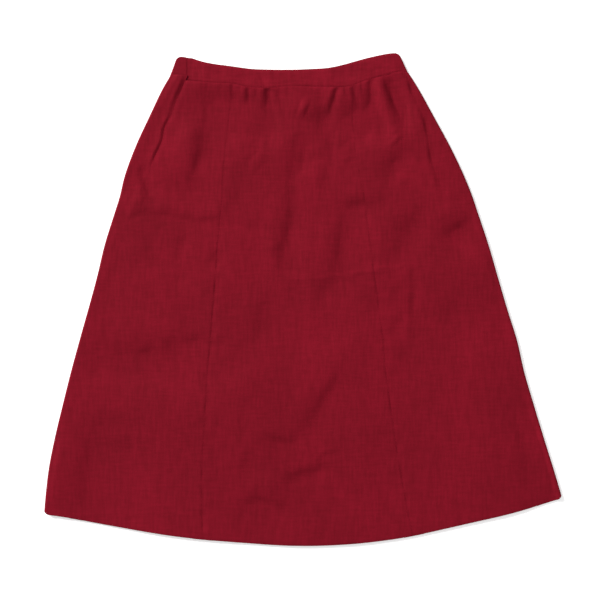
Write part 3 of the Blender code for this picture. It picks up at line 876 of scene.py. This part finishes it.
def band_point(a, b):
    """a runs along the band; b is 0 at the seam and 1 at the top fold."""
    left = mix(*[left_x(drop) for drop in LEFT_DROPS], b)
    right = mix(*[right_x(drop) for drop in RIGHT_DROPS], b)
    quarter = math.pi * BAND_RADIUS / 2
    runs = [
        right - BAND_RADIUS - BAND_END_X,
        2 * quarter + 0 * b,
        right - left - 2 * BAND_RADIUS,
        2 * quarter + 0 * b,
        BAND_END_X + UNDERLAP - left - BAND_RADIUS,
    ]
    part = np.clip(np.searchsorted(BAND_SHARES, a, side="right") - 1, 0, 4)
    local = (a - BAND_SHARES[part]) / (BAND_SHARES[part + 1] - BAND_SHARES[part])
    run = local * np.choose(part, runs)
    turn = run / BAND_RADIUS
    x = np.choose(part, [
        BAND_END_X + run,
        right - BAND_RADIUS + BAND_RADIUS * np.sin(turn),
        right - BAND_RADIUS - run,
        left + BAND_RADIUS - BAND_RADIUS * np.sin(turn),
        left + BAND_RADIUS + run,
    ])
    on_top = mix(OVERLAP_HEIGHT, BAND_HEIGHT, smooth_step(UNDERLAP, UNDERLAP + OVERLAP_BLEND, run))
    on_top = mix(on_top, 2 * BAND_RADIUS, smooth_step(30, 0, runs[0] - run))
    height = np.choose(part, [
        on_top,
        BAND_RADIUS + BAND_RADIUS * np.cos(turn),
        0 * run,
        BAND_RADIUS - BAND_RADIUS * np.cos(turn),
        mix(
            mix(2 * BAND_RADIUS, UNDERLAP_SHOWN, smooth_step(0, 18, run)),
            UNDERLAP_HEIGHT,
            smooth_step(BAND_END_X - 0.2, BAND_END_X + 2.4, x),
        ),
    ])
    inset = np.maximum(0.0, np.minimum(x - left, right - x))
    front = (part == 0) | ((part == 1) & (run <= quarter))
    top, seam = (
        np.where(front, along(front_edge, "drop", x), along(back_edge, "drop", x))
        for front_edge, back_edge in ((FRONT_TOP, BACK_TOP), (FRONT_SEAM, BACK_SEAM))
    )
    top = top + rounded_corner(inset, BAND_CORNER)
    top = top + np.where(part == 2, BACK_STEP * smooth_step(10, 60, inset), 0.0)
    top = top + np.where(part == 0, 1.2 * smooth_step(8, 0, run), 0.0)
    seam = seam - BAND_GAP / 2
    drop = mix(seam, top, b)
    relief = band_relief(x, drop, seam - drop, drop - top)
    relief = relief + WAIST_RISE * (1.0 - b) * smooth_step(0, 46, run)
    free_end = (UNDERLAP_SHOWN + 0.06 - OVERLAP_HEIGHT) * (1.0 - smooth_step(-4, 26, run))
    on_front = relief * smooth_step(0, 18, runs[0] - run) + free_end
    height = height + np.where(part == 0, on_front, 0.0)
    on_back = np.maximum(0.0, 0.5 * relief) * smooth_step(8, 30, inset)
    height = height + np.where(part == 2, on_back, 0.0)
    return x, drop, height


def band_relief(x, drop, above_seam, below_top):
    """The edge of the inner allowance, the ridge beside the seam, and small dents."""
    total = -0.35 * bell(above_seam, 1.2) + 0.06 * bell(above_seam - 2.8, 1.6)
    total += 0.16 * (1.0 - smooth_step(7.5, 11.0, above_seam))
    total -= 0.45 * bell(below_top, 1.8)
    for dent in BAND_DENTS:
        away = (x - dent.x - dent.lean * (drop - dent.drop)) / dent.width
        total += dent.height * bell(away, 1.0) * bell(drop - dent.drop, 13.0)
    total += 0.20 * slow_waves(x, drop, 71, 14, 22, 60) + 0.07 * slow_waves(x, drop, 72, 16, 8, 16)
    return total


# %% Make the waistband
def folded_band_rows(height):
    """Shares up the outside, over the top fold, and down the inside to a turned lower edge."""
    outside = crowded(18, height, closest=0.6)[:-1]
    angles = np.radians(np.linspace(0, 180, 9))
    fold = 1.0 + BAND_TURN * np.sin(angles) / height
    fold_depth = BAND_TURN * (1 - np.cos(angles))
    inside = np.linspace(1.0, 0.0, 6)[1:]
    shares = np.concatenate([outside, fold, inside])
    depths = np.concatenate([np.zeros_like(outside), fold_depth, np.full(5, 2 * BAND_TURN)])
    past, depth = turned_edge(height, BAND_ALLOWANCE)
    shares = np.concatenate([(-past)[::-1], shares])
    depths = np.concatenate([depth[::-1] * 0.8, depths])
    return shares, depths


band_columns = np.concatenate([
    np.linspace(start, end, count + 1)[:-1]
    for start, end, count in zip(BAND_SHARES, BAND_SHARES[1:], BAND_COUNTS)
])
band_columns = np.append(np.insert(band_columns, 1, BAND_RING), 1.0)
band = cloth_shell(
    "wool_waistband",
    (band_columns, np.zeros_like(band_columns)),
    folded_band_rows(BAND_DEPTH),
    band_point,
    thickness=BAND_LAYER,
    turned_over=True,
)

# %% [markdown]
# ## The pocket bags
#
# Each pocket is a strip of cotton lining folded in half, lying between the front and the back.
# Only a sliver of it can be seen, through the mouth of the pocket, but without it one could look
# through the gap to the table.

# %% Make the pocket bags
LINING = 0.4
BAG_LENGTH = 185.0
LAYER_SHARE = 0.45  # of the strip's width in each layer; the rest is the fold between them
FOLD_SHARE = 0.10
CORNER_RISE = 34  # how much higher the bag ends at the side than further in


def bag_point(side):
    lower, bend = 1.35, 0.45
    straight = POCKET_BAG_WIDTH - bend

    def place(a, b):
        turn = math.pi * np.clip((a - LAYER_SHARE) / FOLD_SHARE, 0.0, 1.0)
        from_end = np.where(a < 0.5, a, 1 - a)
        inset = straight * np.minimum(from_end / LAYER_SHARE, 1.0) + bend * np.sin(turn)
        drop = POCKET_BAG_TOP + BAG_LENGTH * b
        drop = drop - CORNER_RISE * b**3 * (1.0 - smooth_step(0, 46, inset))
        edge = along(ROLLS, side, drop) + POCKET_GAPE * mouth(drop, side) + 1.0
        x = left_x(drop) + edge + inset if side == "left" else right_x(drop) - edge - inset
        room = np.maximum(front_height(x, drop) - CLOTH - 0.4, lower + bend)
        height = lower + bend + bend * np.cos(turn)
        lift = np.minimum(0.9, room - lower - 2 * bend) * np.clip((0.5 - a) / 0.05, 0.0, 1.0)
        return x, drop, height + np.maximum(lift, 0.0)

    return place


def plain_shares(count):
    return np.linspace(0.0, 1.0, count), np.zeros(count)


bags = {
    side: cloth_shell(
        f"lining_pocket_bag_{side}", plain_shares(61), plain_shares(41), bag_point(side),
        thickness=LINING, turned_over=side == "right",
    )
    for side in ("left", "right")
}

# %% [markdown]
# ## The hook and bar
#
# A skirt hook is stamped from sheet steel: a plate whose end is bent back into a flat tongue. Its
# bar is a small plate with a raised bridge. Both are profiles, so we draw each from the side and
# repeat it across its width, which makes a grid of points like those of the cloth.

# %% Make the hook and the bar
FASTENER_DROP = 22.0
FASTENER_HEIGHT = UNDERLAP_HEIGHT + 0.12
STEEL = 0.32
STEEL_EDGE = 0.08


def stamped_piece(name, profile, width, x_start):
    """A strip of metal that follows a side profile of (x, height) points."""
    across = [FASTENER_DROP + width * (i / 5 - 0.5) for i in range(6)]
    piece = grid_object(name, np.array([
        [(x_start + x, drop, FASTENER_HEIGHT + height) for drop in across] for x, height in profile
    ]))
    thicken(piece, "sheet steel", STEEL, 0.0)
    edge = piece.modifiers.new("rounded edges", "BEVEL")
    edge.width = STEEL_EDGE * MM
    edge.segments = 2
    edge.limit_method = "ANGLE"
    return piece


HOOK_PROFILE = [
    (0, 0.85), (2, 0.85), (4, 0.85), (6, 0.85), (7.4, 0.8), (7.9, 0.5), (7.5, 0.2), (6, 0.14),
    (4.5, 0.14), (3.4, 0.2),
]
BAR_PROFILE = [(0, 0.0), (0.5, 0.1), (0.8, 0.45), (1.25, 0.6), (1.7, 0.45), (2.0, 0.1), (2.5, 0.0)]
hook = stamped_piece("steel_hook", HOOK_PROFILE, 9.0, BAND_END_X + 5)
bar = stamped_piece("steel_bar", BAR_PROFILE, 12.0, BAND_END_X + 14.75)
print("hook and bar made")

# %% [markdown]
# ## Colour and nodes
#
# Colours are written as the sRGB hex values that a paint program shows. Blender's shaders work in
# linear light, so one function converts them. Another fills the inputs of a node with numbers,
# colours or links, which keeps each material short enough to read.


# %% Helpers for materials
def linear(hex_colour):
    """sRGB hex, such as "7f1625", to a linear RGBA tuple."""
    values = [int(hex_colour[i:i + 2], 16) / 255 for i in (0, 2, 4)]
    light = [v / 12.92 if v <= 0.04045 else ((v + 0.055) / 1.055) ** 2.4 for v in values]
    return (*light, 1.0)


def set_inputs(owner, node, inputs):
    """An input is a number or colour, or an output socket to link."""
    for key, value in inputs.items():
        socket = node.inputs[key]
        if isinstance(value, bpy.types.NodeSocket):
            owner.node_tree.links.new(value, socket)
        else:
            socket.default_value = value


def add_node(material, kind, inputs, **settings):
    node = material.node_tree.nodes.new(kind)
    for name, value in settings.items():
        setattr(node, name, value)
    set_inputs(material, node, inputs)
    return node


def new_material(name):
    """A material, its shader, and the object's own coordinates in metres."""
    material = bpy.data.materials.new(name)
    material.use_nodes = True
    place = add_node(material, "ShaderNodeTexCoord", {}).outputs["Object"]
    return material, material.node_tree.nodes["Principled BSDF"], place


def ramp(material, factor, stops):
    """A colour ramp; each stop is a position and an sRGB hex colour."""
    node = add_node(material, "ShaderNodeValToRGB", {"Fac": factor})
    elements = node.color_ramp.elements
    while len(elements) < len(stops):
        elements.new(0.5)
    for element, (position, colour) in zip(elements, stops):
        element.position = position
        element.color = linear(colour)
    return node.outputs["Color"]


# %% [markdown]
# ## Wool cloth
#
# The skirt is a soft plain weave in a deep red. Its threads are spun a little unevenly, so short
# thicker stretches (slubs) show as faint lines along and across the cloth, and the dye has taken
# slightly unevenly. The surface is matt, with a very soft bloom of fibre ends where one
# looks along it, which is what the shader's sheen is for.

# %% The wool material
THREAD = 1.2  # mm between drawn threads; the real 0.5 mm would fall between the render's pixels
SLUB_LENGTH = 20.0  # mm, twice a slub's own length, because noise goes up and down once in it
SLUB_WIDTH = 3.2  # mm, coarser than the real 1 mm for the same reason as the threads
WEFT_SHARE = 0.42  # the warp's slubs show a little more


def scaled_noise(material, place, scale, detail):
    scaled = add_node(material, "ShaderNodeMapping", {"Vector": place, "Scale": scale})
    noise = add_node(
        material, "ShaderNodeTexNoise",
        {"Vector": scaled.outputs["Vector"], "Scale": 1.0, "Detail": detail},
    )
    return noise.outputs["Fac"]


def bump_normal(material, height, strength, distance):
    bump = add_node(
        material, "ShaderNodeBump",
        {"Height": height, "Strength": strength, "Distance": distance * MM},
    )
    return bump.outputs["Normal"]


def woven_wool(name, dark, light, sheen_tint):
    material, shader, place = new_material(name)

    def stretched_noise(size, detail=1.0):
        return scaled_noise(material, place, tuple(1000.0 / s for s in size), detail)

    def combine(operation, first, second):
        node = add_node(material, "ShaderNodeMath", {0: first, 1: second}, operation=operation)
        return node.outputs[0]

    def multiply_colours(first, second):
        node = add_node(
            material, "ShaderNodeMix", {"Factor": 1.0, 6: first, 7: second},
            data_type="RGBA", blend_type="MULTIPLY",
        )
        return node.outputs[2]

    weft_slubs = stretched_noise((SLUB_LENGTH, SLUB_WIDTH, 8.0))
    warp_slubs = stretched_noise((SLUB_WIDTH, SLUB_LENGTH * 1.2, 8.0))
    slubs = combine(
        "ADD",
        combine("MULTIPLY", weft_slubs, WEFT_SHARE),
        combine("MULTIPLY", warp_slubs, 1.0 - WEFT_SHARE),
    )
    grain = stretched_noise((THREAD, THREAD, THREAD))
    patches = stretched_noise((90.0, 120.0, 60.0), detail=3.0)

    slub_colour = ramp(material, slubs, [(0.34, dark), (0.66, light)])
    grain_colour = ramp(material, grain, [(0.3, "efecee"), (0.7, "ffffff")])
    patch_colour = ramp(material, patches, [(0.35, "f4f2f3"), (0.65, "ffffff")])
    colour = multiply_colours(multiply_colours(slub_colour, grain_colour), patch_colour)

    thread_height = combine("ADD", combine("MULTIPLY", slubs, 1.2), combine("MULTIPLY", grain, 0.6))
    set_inputs(material, shader, {
        "Base Color": colour,
        "Normal": bump_normal(material, thread_height, 0.45, 0.12),
        "Roughness": 0.85,
        "Specular IOR Level": 0.08,
        "Sheen Weight": 0.10,
        "Sheen Roughness": 0.45,
        "Sheen Tint": linear(sheen_tint),
    })
    return material


wool = woven_wool("piece dyed wool cloth", dark="6c0718", light="770a1d", sheen_tint="84142a")
print(wool.name, "has", len(wool.node_tree.nodes), "nodes")


# %% [markdown]
# ## Cotton lining and nickel plated steel
#
# The pocket bags are plain cotton in the same red, a little darker and flatter, with threads that
# run straight. The hook and bar are stamped steel with bright nickel on it; fine scratches from
# being fastened run along them, so the highlight is slightly streaked.

# %% The lining and the metal
LINING_SCALE = 1000.0 / 0.9 / 6.283  # a drawn thread every 1.8 mm, coarser than real ones


def cotton_lining(name):
    material, shader, place = new_material(name)
    weft = add_node(material, "ShaderNodeTexWave", {
        "Vector": place, "Scale": LINING_SCALE, "Distortion": 0.6,
    }, bands_direction="Y").outputs["Fac"]
    set_inputs(material, shader, {
        "Base Color": ramp(material, weft, [(0.0, "6a1220"), (1.0, "791928")]),
        "Normal": bump_normal(material, weft, 0.4, 0.08),
        "Roughness": 0.8,
    })
    return material


def nickel_plate(name):
    material, shader, place = new_material(name)
    scratches = scaled_noise(material, place, (400.0, 6000.0, 6000.0), 3.0)
    colour = ramp(material, scratches, [(0.3, "c9c4bb"), (0.7, "ddd9d0")])
    rough = add_node(material, "ShaderNodeMapRange", {
        "Value": scratches, "To Min": 0.22, "To Max": 0.42,
    })
    set_inputs(material, shader, {
        "Base Color": colour, "Roughness": rough.outputs["Result"], "Metallic": 1.0,
    })
    return material


lining = cotton_lining("woven cotton lining")
nickel = nickel_plate("nickel plated stamped steel")


# %% [markdown]
# ## Dress the solids
#
# Every piece of cloth now takes the place of its solid, rides on the skirt's one body and gets its
# material, and a table lists how large each was cut. The sizes are of the flat cloth with its seam
# and hem allowances, so they are larger than what shows.

# %% Say what each piece is
Cut = namedtuple("Cut", "piece node width length area rests_on", defaults=[["back_panel"]])
WOOL_CUTS = [
    Cut(centre_front, "centre_front", 0.335, 0.735, 0.203),
    Cut(side_fronts["left"], "side_front_left", 0.215, 0.72, 0.130),
    Cut(side_fronts["right"], "side_front_right", 0.235, 0.71, 0.131),
    Cut(back, "back_panel", 0.870, 0.725, 0.500, rests_on=[]),
    Cut(band, "waistband", 0.750, 0.070, 0.0525, rests_on=[]),
]
LINING_CUTS = [
    Cut(bags["left"], "pocket_bag_left", 0.236, 0.185, 0.0425),
    Cut(bags["right"], "pocket_bag_right", 0.236, 0.185, 0.0425),
]


def dress(piece, node, material):
    piece.data.materials.append(material)
    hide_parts(node)
    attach(piece, "root")


FINISHES = ((WOOL_CUTS, wool, "wool_crepe"), (LINING_CUTS, lining, "pocket_lining"))
for cuts, material, slot in FINISHES:
    for cut in cuts:
        dress(cut.piece, cut.node, material)
dress(hook, "waist_hook", nickel)
dress(bar, "waist_bar", nickel)
print(len(WOOL_CUTS) + len(LINING_CUTS), "pieces of cloth and 2 of metal")


# %% [markdown]
# ## Table, light and camera
#
# Flat clothes are photographed from straight above on a pale ground. The light here comes from the
# upper left, low enough for every crease to have a dark side and a light side, and large enough
# to keep the edges of those shadows soft.

# %% Floor
FLOOR_GLOW = 0.3  # a light table: it thins the shadow beside the cloth
FLOOR_HALF = 6000.0
FLOOR_Z = -0.0002


def white_paper(name):
    material, shader, place = new_material(name)
    noise = add_node(material, "ShaderNodeTexNoise", {"Vector": place, "Scale": 300.0})
    set_inputs(material, shader, {
        "Base Color": ramp(material, noise.outputs["Fac"], [(0.3, "f4f4f4"), (0.7, "f7f7f7")]),
        "Roughness": 0.9,
        "Emission Color": (1.0, 1.0, 1.0, 1.0),
        "Emission Strength": FLOOR_GLOW,
    })
    return material


ends = (-FLOOR_HALF, FLOOR_HALF)
table_top = np.array([[(x, HALF_LENGTH + y, 0.0) for x in ends] for y in ends])
floor = grid_object("pale_table", table_top)
floor.location.z = FLOOR_Z
floor.data.materials.append(white_paper("matt white paper"))


# %% Light
def area_light(name, direction, elevation, distance, size, power):
    """direction is in degrees from +X towards +Y, as seen from above."""
    light = bpy.data.lights.new(name, "AREA")
    light.shape = "DISK"
    light.size = size
    light.energy = power
    lamp = add_object(name, light)
    around, up = math.radians(direction), math.radians(elevation)
    lamp.location = (
        distance * math.cos(up) * math.cos(around),
        distance * math.cos(up) * math.sin(around),
        distance * math.sin(up),
    )
    lamp.rotation_euler = (math.pi / 2 - up, 0.0, around + math.pi / 2)


KEY_POWER = 1700.0
FILL_POWER = 24.0
WORLD_LIGHT = 0.46
area_light("upper_left_softbox", 138, 24, 9.0, 4.2, KEY_POWER)
area_light("right_reflector", -20, 50, 3.6, 2.4, FILL_POWER)
world = bpy.data.worlds.new("studio")
bpy.context.scene.world = world
world.use_nodes = True
set_inputs(world, world.node_tree.nodes["Background"], {
    "Color": (1.0, 1.0, 1.0, 1.0), "Strength": WORLD_LIGHT,
})
bpy.context.scene.view_settings.view_transform = "Standard"

# %% Camera
FRAME_WIDTH = 0.900  # metres across the picture, at 1.5 mm for each of its 600 pixels
FRAME_CENTRE = (-0.0039, -0.0006)
LENS = 85.0
SENSOR = 36.0
CLOTH_LEVEL = 0.005  # metres; the picture's scale is true at this height
camera_data = bpy.data.cameras.new("overhead_camera")
camera_data.lens = LENS
camera_data.sensor_width = SENSOR
camera = add_object("overhead_camera", camera_data)
camera.location = (*FRAME_CENTRE, FRAME_WIDTH * LENS / SENSOR + CLOTH_LEVEL)
bpy.context.scene.camera = camera
print("camera height:", round(camera.location.z, 2), "m")

# %% [markdown]
# ## Finish
#
# The dressed skirt should be as large as the solids it covers. At the end the scene is updated, and
# a small helper turns a box into plain numbers.

# %% Finish
bpy.context.view_layer.update()


def plain(box):
    return [[float(value) for value in corner] for corner in box]
